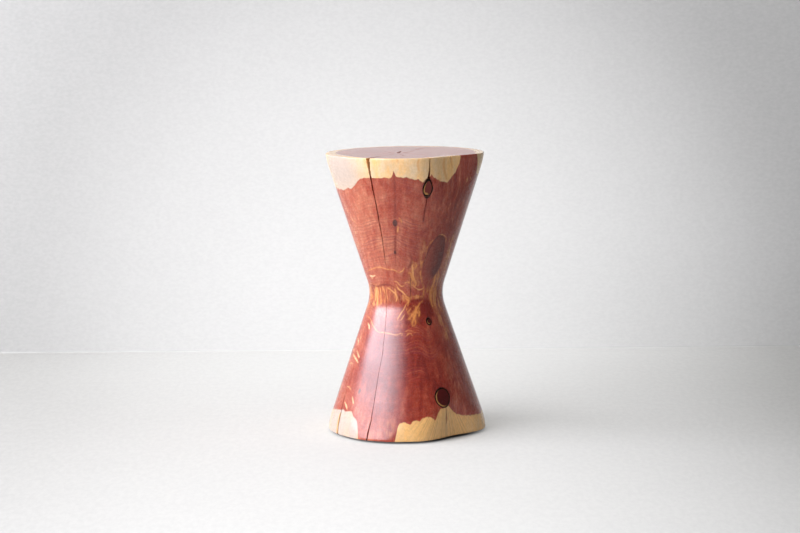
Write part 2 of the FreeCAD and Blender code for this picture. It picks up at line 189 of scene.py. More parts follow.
# Drawn marks: half width, then azimuth and height along each
LINES = {
    # Thin gold lines of included sapwood
    "gold": (
        (0.9, (-66, 295), (-53, 301), (-38, 307), (-30, 306), (-24, 304), (-17, 304), (-13, 302),
         (-9.5, 299), (-7, 300), (-4, 303), (-2, 308)),
        (1.1, (-18, 282), (-13, 281), (-10, 276), (-7, 273), (-3, 274)),
        (1, (-2, 278), (0, 280), (4, 281)),
        (1.3, (-16, 277), (-13, 272), (-11, 267), (-6, 263), (-3, 259), (-1, 257)),
        (0.9, (8, 256), (7.5, 250)),
        (1, (2, 244), (-1, 238), (-4, 231), (-9, 222), (-12, 214)),
        (0.8, (-2, 224), (-5, 217), (-8, 212)),
        (1.2, (7, 276), (11, 273), (15, 269), (19, 266), (23, 266), (27, 268)),
        (1.4, (7, 323), (8, 309), (9, 300), (10, 291), (13, 283), (15, 277)),
        (0.9, (18, 283), (19, 278), (18, 273)),
        (1, (-60, 267), (-57, 259), (-55, 251), (-55, 243)),
        (1.2, (-44, 269), (-43, 258), (-43, 248), (-41, 238)),
        (0.8, (-70, 265), (-70, 255), (-68, 244)),
        (1.2, (-30, 270), (-25, 267), (-21, 263), (-16, 258), (-14, 252), (-16, 245)),
        (0.9, (-72, 214), (-61, 212), (-56, 209), (-50, 202), (-42, 194), (-36, 190), (-31, 190), (-21, 189),
         (-14, 187), (-10, 188), (-7, 190), (-5, 189), (-6, 186)),
        (0.8, (0, 186), (2, 189), (5, 190), (7, 186)),
        (0.6, (-2, 193), (4, 195), (11, 191)),
        (0.9, (61, 470), (64, 462)),
        (1.2, (-7, 388), (-8, 375)),
        (1.2, (-6, 401), (-4, 395), (-4, 391)),
        (0.9, (35, 365), (38, 367), (44, 364), (48, 358), (49, 350)),
    ),
    # Softer strands between gold and brown
    "amber": (
        (2.6, (25.5, 246), (18.5, 237), (13, 228), (8.5, 221)),
        (2.2, (16.5, 230), (13.5, 223), (10.5, 216), (8, 209), (8, 203)),
        (2, (19.5, 229), (18, 219)),
        (1.9, (-1, 214), (3, 214), (7, 219), (9.5, 224)),
        (1.4, (8.5, 202), (12, 206), (12, 212)),
        (1.3, (0, 226), (4, 228), (7.5, 234), (11, 238)),
        (1.2, (22, 236), (19, 231), (14.5, 222)),
        (2.3, (-6, 257), (-1, 251), (3.5, 246), (1.5, 241)),
        (2.2, (-2.5, 255), (2.5, 252), (7, 249)),
        (1.4, (10, 254), (17, 253), (25.5, 253)),
        (1, (9.5, 248), (16, 250), (24.5, 249)),
        (2.6, (4.5, 301), (6.5, 295), (9, 287), (12.5, 281), (15.5, 275)),
        (1.6, (2.5, 280), (7.5, 279), (12, 273), (16, 268)),
        (1.4, (19, 324), (19, 305), (20, 294), (23, 281), (27, 270), (28, 259), (28, 249)),
        (2.6, (3, 298), (7, 295), (10, 289), (12, 282)),
        (1.2, (12, 317), (13, 312), (12, 306)),
        (3, (46, 293), (45, 283), (44, 272), (42, 262), (41, 251), (42, 241), (43, 234)),
        (1.8, (49, 297), (52, 282), (52, 269), (52, 254), (49, 242)),
        (1.2, (34, 281), (34, 271), (34, 261)),
        (0.9, (50, 228), (52, 219), (53, 211), (53, 201)),
        (1, (0, 226), (4, 224), (7, 225)),
        (1, (4, 242), (1, 235), (0, 229)),
        (0.9, (23, 320), (24, 332), (24, 342), (26, 349), (30, 357)),
        (1, (54, 358), (58, 337), (60, 317), (59, 302)),
        (0.9, (21, 320), (20, 310), (20, 300)),
        (1.4, (8, 321), (10, 309), (7, 300), (9, 292)),
        (0.9, (128, 306), (126, 284), (129, 258), (127, 232)),
        (1.1, (150, 296), (148, 276), (151, 246), (149, 216)),
        (0.8, (168, 284), (170, 262), (168, 240)),
        (1, (190, 316), (192, 286), (189, 256), (191, 230)),
        (0.9, (214, 290), (212, 270), (215, 244), (213, 218)),
        (1, (238, 304), (240, 278), (238, 246)),
    ),
    # Honey-coloured streaks in the sapwood
    "honey": (
        (2, (-29, 509), (-28, 501), (-27.6, 492)),
        (2, (10, 509), (9, 498), (10, 486)),
        (3, (33, 508), (32, 489), (35, 469)),
        (1.8, (41, 508), (41, 495), (42, 487)),
        (2, (-6, 509), (-5, 502)),
        (3.4, (-63, 2), (-63, 14), (-63.5, 27), (-64, 40)),
        (2.4, (140, 509), (138, 492), (139, 474)),
        (2.2, (188, 8), (189, 24), (187, 40)),
    ),
    # Cream flecks of sapwood in the heartwood
    "cream": (
        (1.8, (-61, 203), (-56, 198), (-54, 193)),
        (1.7, (-80, 172), (-72, 168), (-70, 162)),
        (1.2, (-69, 179), (-68, 172)),
        (1.5, (-81, 152), (-76, 149)),
        (1.7, (-69, 153), (-63, 147), (-58, 142)),
        (1.9, (-77, 144), (-66, 139), (-58, 133)),
        (1.3, (-79, 127), (-69, 128)),
        (1.6, (-83, 84), (-79, 77)),
        (1.3, (-66, 89), (-61, 88), (-57, 85)),
        (1.7, (-53, 75), (-51, 69), (-49, 63)),
        (1.9, (-62, 63), (-58, 57), (-55, 51)),
        (1.2, (-64, 395), (-60, 390), (-58, 387)),
        (1.4, (-64, 372), (-63, 366)),
        (1, (-67, 350), (-68, 342)),
        (1.7, (-62, 289), (-56, 288), (-48, 290)),
        (1.1, (-57, 287), (-57, 283)),
        (1.3, (58.5, 469), (58.5, 459)),
        (2.2, (152, 96), (156, 82)),
        (2, (168, 120), (171, 104)),
        (2.4, (186, 90), (190, 74)),
    ),
    # Dark marks in the heartwood
    "dark": (
        (1.2, (-8.5, 485), (-8, 469), (-8.5, 433), (-9.5, 401)),
        (1.5, (-9.6, 386), (-10.2, 373), (-12, 337), (-12.6, 317)),
        (1.7, (-84, 262), (-66, 270), (-49, 270), (-38, 274), (-28, 275), (-21, 273), (-15, 268)),
        (1.2, (-70, 238), (-60, 232), (-54, 229)),
        (1, (-60, 256), (-59, 245), (-55, 237)),
        (2.4, (-13, 258), (-10, 250), (-9, 243)),
        (1.6, (-13, 265), (-9, 261), (-7, 258)),
        (3, (7, 243), (11, 246), (17, 247), (25, 248)),
        (3.2, (28, 253), (31, 244), (36, 238), (39, 230), (39, 221)),
        (2.4, (5, 238), (9, 234), (6, 226)),
        (2, (5, 333), (7, 319), (3, 307)),
        (1.3, (15, 468), (13, 456), (14, 443)),
        (1.6, (14.5, 441), (17.5, 436), (20.5, 441)),
        (2, (18.3, 440), (17.7, 426), (17, 408), (16.4, 390)),
        (1, (28, 470), (27.4, 456), (27, 440)),
        (1.8, (32, 98), (32, 104), (31.6, 114)),
        (0.9, (34, 60), (34.5, 46), (34.5, 30)),
        (1.4, (52, 470), (50, 440), (49, 420)),
        (2, (60, 150), (61, 120), (61, 92)),
    ),
}
# Marks are drawn down to this depth only. They fall off over a reach, and are worked out within a margin
SIDE_DEPTH = 1.5
LINE_REACH = 6.0
LINE_MARGIN = 8.0
# Soft patches: azimuth, height, half width, half height, strength
ZONES = {
    # Burl figure, shot through with gold in bent bands
    "swirl": (
        (-76, 246, 18, 28, 0.8), (-22, 255, 13, 15, 0.8), (-12, 252, 8, 10, 0.35), (7, 300, 8, 24, 0.5),
        (14, 272, 10, 10, 0.3), (10, 220, 11, 20, 0.35), (176, 254, 30, 16, 0.35), (120, 248, 18, 18, 0.3),
        (226, 250, 20, 18, 0.35),
    ),
    # Straight gold grain
    "streak": (
        (-60, 253, 18, 20, 0.95), (-42, 252, 10, 22, 0.9), (-22, 260, 12, 12, 0.75), (1, 251, 8, 8, 0.8),
        (17, 253, 10, 4, 0.6), (11, 290, 9, 18, 0.65), (-13, 27, 9, 18, 0.4), (48, 264, 12, 38, 0.95),
        (62, 300, 12, 64, 0.7), (57, 200, 14, 44, 0.45), (20, 330, 9, 34, 0.4), (118, 266, 20, 52, 0.42),
        (152, 250, 16, 60, 0.46), (188, 268, 20, 56, 0.42), (226, 252, 18, 50, 0.46),
        (258, 254, 16, 34, 0.6),
    ),
    # A wash of orange under the figure
    "wash": (
        (-48, 256, 24, 17, 0.75), (-22, 258, 12, 13, 0.65), (11, 221, 9, 15, 0.35), (9, 292, 8, 16, 0.35),
        (2, 252, 7, 7, 0.4),
    ),
    # Deeper or paler heartwood
    "tone": (
        (10, 120, 130, 92, -0.085), (8, 150, 46, 60, -0.02), (-70, 110, 60, 110, 0.034),
        (52, 110, 36, 70, 0.035), (-44, 355, 84, 140, 0.1), (52, 400, 46, 110, -0.04),
        (-26, 20, 34, 30, 0.075), (180, 120, 150, 90, -0.05), (14, 228, 24, 26, -0.17),
        (36, 230, 14, 16, -0.12), (12, 267, 16, 10, -0.08), (28, 140, 12, 40, 0.05),
        (-27, 150, 44, 92, -0.08), (-44, 110, 30, 70, -0.03), (-50, 372, 40, 50, 0.04),
    ),
    # Growth rings that stand out
    "clear": (
        (-20, 362, 74, 44, 0.4), (10, 162, 52, 48, 0.5), (-24, 165, 46, 46, 0.4), (170, 350, 90, 60, 0.4),
    ),
    # Rings that show as orange lines
    "arcs": (
        (10, 160, 36, 46, 1), (-16, 120, 40, 60, 0.4),
    ),
    # Wood that is streaked along the grain
    "thready": (
        (52, 420, 40, 100, 0.75), (22, 400, 16, 60, 0.35), (58, 110, 34, 80, 0.6), (118, 330, 40, 90, 0.5),
    ),
    # Grey stain in the sapwood
    "stain": (
        (15.5, 486, 9, 26, 0.55), (25, 488, 12, 22, 0.3), (-12, 497, 15, 14, 0.3), (34, 30, 5, 26, 0.25),
        (150, 490, 30, 20, 0.4),
    ),
    # Lines that fan out under the base knot
    "fanned": (
        (34, 36, 70, 50, 1),
    ),
    # Painted light on the sapwood: paler on the lit left, and below 0 painted shade, tanner on the right
    "painted_sap_light": (
        (-58, 485, 66, 60, 0.9), (-64, 25, 62, 60, 0.9), (-42, 12, 12, 34, 0.6), (44, 490, 60, 60, -0.45),
        (30, 30, 90, 60, -0.8), (210, 480, 80, 50, 0.4),
    ),
}
# Vertical darker bands of heartwood: azimuth, half width in degrees, lowest and highest height, strength
DARK_BANDS = (
    (57, 4.5, 330, 520, 0.75), (47, 3, 350, 470, 0.45), (66, 3, 380, 520, 0.5), (62, 5, 40, 190, 0.4),
    (-44, 3, 300, 420, 0.12), (142, 7, 60, 470, 0.4), (215, 6, 90, 430, 0.35),
)
FAN_AZIMUTH = 33.0
FAN_HEIGHT = 96.0
BAND_FADE = 20


def outward(azimuth_deg):
    """Unit vectors away from the axis."""
    angle = np.radians(azimuth_deg)
    return np.stack([np.sin(angle), -np.cos(angle), np.zeros_like(angle)], -1)


def sideways(out):
    """Unit vectors across outward ones, level."""
    return np.stack([-out[..., 1], out[..., 0], np.zeros_like(out[..., 0])], -1)


def smooth(low, high, value):
    """Smooth step from 0 at low to 1 at high."""
    share = np.clip((value - low) / (high - low), 0.0, 1.0)
    return share * share * (3.0 - 2.0 * share)


def azimuth_of(x, y):
    """Azimuth of points."""
    return np.degrees(np.arctan2(x, -y))


def turn_off(azimuth_deg, centre_deg):
    """Signed angle from a centre azimuth, within half a turn."""
    return (azimuth_deg - centre_deg + 180.0) % 360.0 - 180.0


def turned_radius(height):
    """Radius of the turned hourglass, carried on past its ends."""
    above = np.asarray(height, float) - WAIST_HEIGHT
    flare = np.radians(np.where(above > 0, UPPER_FLARE_DEG, LOWER_FLARE_DEG))
    tangent_radius = WAIST_RADIUS + WAIST_CURVE_RADIUS * (1.0 - np.cos(flare))
    tangent_rise = WAIST_CURVE_RADIUS * np.sin(flare)
    curve = np.sqrt(np.maximum(WAIST_CURVE_RADIUS**2 - above**2, 0.0))
    cone = tangent_radius + (np.abs(above) - tangent_rise) * np.tan(flare)
    return np.where(np.abs(above) <= tangent_rise, WAIST_RADIUS + WAIST_CURVE_RADIUS - curve, cone)


def log_radius(azimuth_deg, height):
    """Radius of the natural log surface."""
    radius = LOG_RADIUS
    rise = (height - BASE_Z) / (RIM_Z - BASE_Z)
    for centre, half_width, base_depth, top_depth in FLUTES:
        off = np.clip(np.abs(turn_off(azimuth_deg, centre)) / half_width, 0.0, 1.0)
        radius = radius - (base_depth + (top_depth - base_depth) * rise) * np.cos(0.5 * np.pi * off) ** 2
    return radius


def surface_radius(azimuth_deg, height):
    """Radius of the stump: turned form and log, sanded into each other where they meet."""
    height = np.clip(height, BASE_Z, RIM_Z)
    turned, log = turned_radius(height), log_radius(azimuth_deg, height)
    near = np.maximum(CREASE_BLEND - np.abs(turned - log), 0.0) / CREASE_BLEND
    return np.minimum(turned, log) - 0.25 * CREASE_BLEND * near * near


def finished_radius(azimuth_deg, height):
    """Radius less the small depth, up to about 0.5 mm, that turning and sanding took off."""
    a = np.radians(azimuth_deg)
    wave = np.sin(3 * a + height / 61.0) + np.sin(7 * a - height / 37.0 + 1.3)
    wave = wave + 0.6 * np.sin(height / 11.0 + 2 * a)
    return surface_radius(azimuth_deg, height) - 0.09 * (wave + 2.6)


def make_object(name, vertices, faces, sharp_deg=35.0):
    """Mesh object from vertices in millimetres."""
    mesh = bpy.data.meshes.new(name)
    mesh.from_pydata((np.asarray(vertices) * MM).tolist(), [], faces)
    mesh.validate()
    piece = bpy.data.objects.new(name, mesh)
    bpy.context.scene.collection.objects.link(piece)
    mesh.shade_smooth()
    mesh.set_sharp_from_angle(angle=math.radians(sharp_deg))
    return piece


def ring_faces(rows, columns, closed=False):
    """Quads between rows of a grid whose columns run right round."""
    faces = []
    for row in range(rows if closed else rows - 1):
        low, high = row * columns, ((row + 1) % rows) * columns
        for column in range(columns):
            beside = (column + 1) % columns
            faces.append((low + column, low + beside, high + beside, high + column))
    return faces


def capped_faces(rows, columns):
    """Faces of a grid closed by one centre vertex before it and one after it, which come last."""
    first, last, top = rows * columns, rows * columns + 1, (rows - 1) * columns
    faces = ring_faces(rows, columns)
    for column in range(columns):
        beside = (column + 1) % columns
        faces += [(first, beside, column), (last, top + column, top + beside)]
    return faces


def capped(rows):
    """Closed solid from rings of points: vertices and faces."""
    vertices = np.concatenate(rows + [rows[0].mean(0)[None], rows[-1].mean(0)[None]])
    return vertices, capped_faces(len(rows), len(rows[0]))


def stump_shell():
    """Closed grid of the finished stump: bottom face, eased edge, side, eased edge and top face."""
    columns = np.concatenate([
        np.arange(-FRONT_HALF_DEG, FRONT_HALF_DEG, FRONT_STEP_DEG),
        np.arange(FRONT_HALF_DEG, 360.0 - FRONT_HALF_DEG - 0.5 * BACK_STEP_DEG, BACK_STEP_DEG),
    ])
    low_edge, high_edge = BASE_Z + RIM_EASE, RIM_Z - RIM_EASE
    heights = np.concatenate([
        np.arange(low_edge, FINE_LOW, COARSE_STEP),
        np.arange(FINE_LOW, FINE_HIGH, FINE_STEP),
        np.linspace(FINE_HIGH, high_edge, int((high_edge - FINE_HIGH) / COARSE_STEP)),
    ])
    bottom, top = finished_radius(columns, low_edge), finished_radius(columns, high_edge)
    angles = np.radians((0.0, 30.0, 60.0))
    rows = [(share * (bottom - RIM_EASE), BASE_Z) for share in BOTTOM_SHARES]
    rows += [(bottom - RIM_EASE * (1 - math.sin(t)), BASE_Z + RIM_EASE * (1 - math.cos(t))) for t in angles]
    rows += [(finished_radius(columns, z), z) for z in heights]
    rows += [(top - RIM_EASE * (1 - math.cos(t)), high_edge + RIM_EASE * math.sin(t)) for t in angles[1:]]
    rows += [(share * (top - RIM_EASE), RIM_Z) for share in TOP_SHARES]
    rings = [outward(columns) * radius[:, None] + UP * height for radius, height in rows]
    vertices = np.concatenate(rings + [np.array([UP * BASE_Z, UP * RIM_Z])])
    on_top = vertices[:, 2] > RIM_Z - 0.01
    x, y = vertices[on_top, 0], vertices[on_top, 1]
    vertices[on_top, 2] -= 0.07 * (1.6 + np.sin(x / 23.0 + y / 41.0) + 0.6 * np.sin(y / 17.0 - x / 31.0))
    return vertices, capped_faces(len(rows), len(columns))


def wedge(left, right, tip):
    """Closed blade through three rows of points."""
    count = len(tip)
    faces = ring_faces(count, 3) + [(2, 1, 0), (3 * count - 3, 3 * count - 2, 3 * count - 1)]
    return np.stack([left, right, tip], 1).reshape(-1, 3), faces


def blade(stations, seed):
    """Blade along a check. It wanders a little, as a split along the grain does."""
    stations = np.array(sorted(stations, key=lambda station: station[1]), float)
    heights = np.arange(stations[0, 1], stations[-1, 1] + 1.0, BLADE_STEP)
    azimuth, width, depth = (np.interp(heights, stations[:, 1], stations[:, k]) for k in (0, 2, 3))
    random = np.random.default_rng(seed)
    wander = np.convolve(random.normal(0, 1, len(heights) + 4), np.ones(5) / 5, "valid")
    radius = surface_radius(azimuth, heights)
    half = 0.5 * width * (1 + BLADE_UNEVEN * random.normal(0, 1, len(heights)).clip(-1.5, 1.5))
    out = outward(azimuth + np.degrees(wander * BLADE_STRAY / radius))
    spread = sideways(out) * (half * (depth + CHECK_OVERCUT) / depth)[:, None]
    mouth, lift = out * (radius + CHECK_OVERCUT)[:, None], heights[:, None] * UP
    return wedge(mouth - spread + lift, mouth + spread + lift, out * (radius - depth)[:, None] + lift)


def top_blade(azimuth_deg, inner, outer, width, seed):
    """Blade of a hairline check on the top face, running out from the pith."""
    along = np.linspace(inner, outer, TOP_BLADE_POINTS)
    wander = np.cumsum(np.random.default_rng(seed).normal(0, TOP_BLADE_STRAY, len(along)))
    half = 0.5 * width * np.sin(np.linspace(0.25, np.pi - 0.1, len(along)))
    out = outward(np.array(azimuth_deg, float))
    side = sideways(out)
    centre = np.array([*PITH, 0.0]) + along[:, None] * out + wander[:, None] * side
    spread = (half * (TOP_CHECK_DEPTH + TOP_OVERCUT) / TOP_CHECK_DEPTH)[:, None] * side
    mouth = UP * (RIM_Z + TOP_OVERCUT)
    return wedge(centre + spread + mouth, centre - spread + mouth, centre + UP * (RIM_Z - TOP_CHECK_DEPTH))


def merged(parts):
    """One list of vertices and one of faces from several."""
    vertices, faces, start = [], [], 0
    for points, polygons in parts:
        vertices.append(points)
        faces += [tuple(start + index for index in polygon) for polygon in polygons]
        start += len(points)
    return np.concatenate(vertices), faces


class Branch:
    """Frame of a branch stub: the point where it leaves the stump, its axis and two axes across it."""

    def __init__(self, azimuth_deg, height, radius, length, rise_deg, power, toe):
        out = outward(np.array(azimuth_deg, float))
        rise = math.radians(rise_deg)
        self.radius, self.length, self.power, self.toe = radius, length, power, toe
        self.axis = out * math.cos(rise) + UP * math.sin(rise)
        self.side = sideways(out)
        self.up = np.cross(self.axis, self.side)
        self.up *= np.sign(self.up[2])
        self.start = out * surface_radius(azimuth_deg, height) + UP * height

    def reach(self, aside, above):
        """Distance from the axis by the outline's power."""
        return (np.abs(aside) ** self.power + np.abs(above) ** self.power) ** (1.0 / self.power)

    def across(self, angles, radius):
        """Offsets from the axis at angles round it."""
        cos, sin = np.cos(angles), np.sin(angles)
        scale = radius / self.reach(cos, sin)
        return (scale * cos)[:, None] * self.side + (scale * sin)[:, None] * self.up

    def wood_radius(self, angles):
        """Radius of the wood at angles round the axis."""
        return self.radius * (1.0 - self.toe * np.maximum(-np.sin(angles), 0.0) ** 3)

    def outside(self, points):
        """How far points near the stub lie outside its pocket. Points far off count as 99 mm."""
        offsets = points - self.start
        along = offsets @ self.axis
        limit = self.radius + BARK_THICKNESS + along * KNOT_TAPER
        beyond = self.reach(offsets @ self.side, offsets @ self.up) - limit
        return np.where(np.abs(along) < 2.0 * self.radius + 12.0, beyond, 99.0)

    def onto_surface(self, offsets):
        """Distances along the axis at which lines through the offsets meet the stump's surface."""
        low, high = np.full(len(offsets), -SEARCH_REACH), np.full(len(offsets), SEARCH_REACH)
        for _ in range(SEARCH_STEPS):
            middle = 0.5 * (low + high)
            x, y, z = (self.start + offsets + middle[:, None] * self.axis).T
            inside = np.hypot(x, y) < finished_radius(azimuth_of(x, y), z)
            low, high = np.where(inside, middle, low), np.where(inside, high, middle)
        return low

    def row(self, angles, radius, drop):
        """Ring of points on the surface, lowered by a drop."""
        offsets = self.across(angles, radius)
        return self.start + offsets + (self.onto_surface(offsets) - drop)[:, None] * self.axis

    def end(self, angles, radius):
        """Ring of points at the stub's inner end."""
        return self.start + self.across(angles, radius - self.length * KNOT_TAPER) - self.length * self.axis


def round_angles(columns):
    """Even angles right round."""
    return np.linspace(0, 2 * np.pi, columns, endpoint=False)


def knot_wood(name, branch, seed):
    """Branch stub that fills its sleeve: a dished end with raised rings and short radial cracks."""
    angles = round_angles(STUB_COLUMNS)
    wood = branch.wood_radius(angles)
    cracks = np.random.default_rng(seed).uniform(0, 2 * np.pi, STUB_CRACKS)
    nearest = np.abs(np.angle(np.exp(1j * (angles[:, None] - cracks)))).min(1)
    rows, levels = [branch.row(angles, 0.02 * branch.radius, 0.5)], [0.0]
    for share in np.linspace(0.06, 1.0, STUB_RINGS):
        ripple = 0.10 * np.sin(share * 30.0 + 0.5 * np.sin(2 * angles))
        split = smooth(0.12, 0.0, nearest) * smooth(0.15, 0.35, share) * smooth(0.95, 0.7, share)
        rows.append(branch.row(angles, share * wood, 0.45 - 0.2 * share + ripple * 0.6 + 0.8 * split))
        levels.append(share)
    rows.append(branch.end(angles, wood))
    piece = make_object(name, *capped(rows), 50.0)
    level = np.repeat(levels + [1.05], STUB_COLUMNS)
    gild = smooth(-0.3, 0.75, np.cos(angles - GILD_ANGLE))
    gilded = (0.25 + 1.75 * gild) * min(1.0, branch.radius / 8.0)
    edge = (1.0 - level) * np.tile(wood / gilded, len(rows))
    fields = {"level": (level, 0, 1), "edge": (edge, 9, 0), "gild": (np.tile(gild, len(rows)), 0, 0)}
    for field, (values, first, last) in fields.items():
        write_field(piece.data, field, np.append(values, (first, last)))
    return piece


def knot_bark(name, branch, seed):
    """Crumbly sleeve of bark round a stub."""
    random = np.random.default_rng(seed)
    angles = round_angles(SLEEVE_COLUMNS)
    wood = branch.wood_radius(angles)
    inner, outer = wood + KNOT_GAP, branch.radius + KNOT_GAP + BARK_THICKNESS
    rows = []
    for share in np.linspace(0.0, 1.0, SLEEVE_RINGS):
        rough = np.convolve(random.uniform(0.15, 1.5, SLEEVE_COLUMNS + 2), np.ones(3) / 3, "valid")
        dip = 0.35 + rough * (0.5 + 0.9 * math.sin(math.pi * share))
        rows.append(branch.row(angles, inner + share * (outer - inner), dip))
    rows += [branch.end(angles, outer), branch.end(angles, inner)]
    piece = make_object(name, np.concatenate(rows), ring_faces(len(rows), SLEEVE_COLUMNS, closed=True), 60.0)
    write_field(piece.data, "loose", np.tile(smooth(0.3, 1.8, branch.radius - wood), len(rows)))
    return piece


def knot_pocket(branch):
    """Cutter for the hole that holds a stub and its sleeve."""
    radius = branch.radius + BARK_THICKNESS + 2 * KNOT_GAP
    rows = []
    for along in (-branch.length, -0.5 * branch.length, 0.0, 3.0 * branch.radius):
        offsets = branch.across(round_angles(SLEEVE_COLUMNS), radius + along * KNOT_TAPER)
        rows.append(branch.start + offsets + along * branch.axis)
    return capped(rows)


def write_field(mesh, name, values):
    """Stores one number per vertex for the materials."""
    field = mesh.attributes.new(name=name, type="FLOAT", domain="POINT")
    field.data.foreach_set("value", np.ascontiguousarray(values, dtype=np.float32))


def rounded_path(stops):
    """Smooth line through its stops, each piece in four steps."""
    stops = np.array(stops, float)
    ends = np.concatenate([[2 * stops[0] - stops[1]], stops, [2 * stops[-1] - stops[-2]]])
    path = []
    for before, start, stop, after in zip(ends, ends[1:], ends[2:], ends[3:]):
        bend = 2 * before - 5 * start + 4 * stop - after
        twist = 3 * start - before - 3 * stop + after
        path += [start + 0.5 * t * (stop - before + t * (bend + t * twist)) for t in (0.0, 0.25, 0.5, 0.75)]
    return np.array(path + [stops[-1]])


class Places:
    """Where a mesh's vertices lie on the stump."""

    def __init__(self, mesh):
        points = np.empty(len(mesh.vertices) * 3, np.float32)
        mesh.vertices.foreach_get("co", points)
        self.points = points.reshape(-1, 3).astype(float) / MM
        x, y, self.height = self.points.T
        self.radius, self.azimuth = np.hypot(x, y), azimuth_of(x, y)
        self.depth = np.maximum(surface_radius(self.azimuth, self.height) - self.radius, 0.0)
        self.on_side = self.depth < SIDE_DEPTH

    def turn(self, centre_deg):
        """Signed angles from a centre azimuth."""
        return turn_off(self.azimuth, centre_deg)

    def arc(self, centre_deg):
        """Signed lengths of arc from a centre azimuth."""
        return np.radians(self.turn(centre_deg)) * self.radius

    def filled(self, value):
        """One value for every vertex."""
        return np.full(len(self.height), value)


def line_depth(places, lines):
    """How deep each point lies in the nearest of several drawn lines: below 0 outside them."""
    depth = places.filled(-LINE_REACH)
    for half_width, *stops in lines:
        path = rounded_path(stops)
        middle, level = 0.5 * (path.min(0) + path.max(0))
        wide, tall = 0.5 * np.ptp(path, 0) + LINE_MARGIN
        near = (np.abs(places.turn(middle)) < wide) & (np.abs(places.height - level) < tall)
        side, height, radius = places.turn(middle)[near], places.height[near], places.radius[near]
        widths = half_width * (0.15 + 0.85 * np.sin(np.linspace(0.0, np.pi, len(path))) ** 0.4)
        for (a0, z0), (a1, z1), width in zip(path, path[1:], widths):
            u, v = np.radians(side - (a0 - middle)) * radius, height - z0
            du, dv = np.radians(a1 - a0) * radius, z1 - z0
            along = np.clip((u * du + v * dv) / (du * du + dv * dv), 0.0, 1.0)
            depth[near] = np.maximum(depth[near], width - np.hypot(u - along * du, v - along * dv))
    return depth


def zone_share(places, zones):
    """Sum of soft patches, between -1 and 1."""
    share = places.filled(0.0)
    for centre, middle, half_width, half_height, strength in zones:
        u, v = places.arc(centre) / half_width, (places.height - middle) / half_height
        share += strength * np.exp(-((u * u + v**2) ** 1.5))
    return np.clip(share, -1.0, 1.0)


def band_share(places):
    """Strength of the darker bands."""
    share = places.filled(0.0)
    for centre, half_deg, low, high, strength in DARK_BANDS:
        inside = smooth(low - BAND_FADE, low + BAND_FADE, places.height)
        inside = inside * smooth(high + BAND_FADE, high - BAND_FADE, places.height)
        share = np.maximum(share, strength * inside * np.exp(-(places.turn(centre) / half_deg) ** 2))
    return share


def pin_depth(places, branches):
    """How deep each point lies in a pin knot or in the dark rim round an encased knot."""
    depth = places.filled(-LINE_REACH)
    for centre, middle, size in PIN_KNOTS:
        depth = np.maximum(depth, size - np.hypot(places.arc(centre), 0.62 * (places.height - middle)))
    for branch in branches:
        depth = np.maximum(depth, DARK_RIM_REACH - branch.outside(places.points))
    return depth


def knot_level(places):
    """Distance from the nearest grown-in knot as a share of its size, then how far right and low in it."""
    level, right, low = places.filled(FAR_LEVEL), places.filled(0.0), places.filled(0.0)
    for centre, middle, half_width, half_height, lean in LIVE_KNOTS:
        v = places.height - middle
        u = places.arc(centre) - lean * v
        egg = 1.0 - 0.12 * np.clip(v / half_height, -1.5, 1.5)
        here = np.hypot(u / (half_width * egg), v / half_height)
        right = np.where(here < level, np.clip(u / half_width, -1.0, 1.0), right)
        low = np.where(here < level, smooth(0.1, -0.9, v / half_height), low)
        level = np.minimum(level, here)
    return np.where(places.on_side, level, FAR_LEVEL), right, low


def heart_radius(line, azimuth_deg):
    """Radius at which the heartwood ends, from the heights of its line on the turned form."""
    points = np.array(line, float)
    return np.interp(azimuth_deg, points[:, 0], turned_radius(points[:, 1]), period=360.0)


def growth(places, trace, level):
    """Depth in the sapwood, and distance from the pith in rings that bend with the sapwood and the knots."""
    height, azimuth, on_side = places.height, places.azimuth, places.on_side
    virtual = turned_radius(height) - places.depth
    upward = smooth(*SAP_BLEND, height)
    heart = (1 - upward) * heart_radius(LOWER_SAP_LINE, azimuth)
    heart += upward * heart_radius(UPPER_SAP_LINE, azimuth)
    sap = virtual - heart
    shift = np.clip(1.0 - virtual / AXIS_RADIUS, 0.0, 1.0)
    out = outward(azimuth)
    ring = np.hypot(virtual * out[:, 0] - shift * PITH[0], virtual * out[:, 1] - shift * PITH[1])
    usual, reach, share = HEART_FOLLOW
    ring += (usual - heart) * np.exp(-np.maximum(-sap, 0.0) / reach) * share
    for centre, rise, fade, start, full in ((trace, *TRACE_PEAK), *RING_PEAKS):
        ring -= on_side * rise * np.exp(-np.abs(places.turn(centre)) / fade) * smooth(start, full, height)
    centre, half_deg, bulge = KNOT_COLUMN
    column = np.exp(-((places.turn(centre) / half_deg) ** 2))
    ring -= on_side * bulge * (column * smooth(230, 200, height) * smooth(50, 90, height))
    ring += 10.0 * np.exp(-np.maximum(level - 0.6, 0.0) * 2.0)
    for centre, middle, size, *_ in (*KNOTS.values(), *PIN_KNOTS):
        away = np.hypot(places.arc(centre), 0.6 * (height - middle))
        ring += on_side * 0.45 * size * np.exp(-away / (1.3 * size))
    return sap, ring


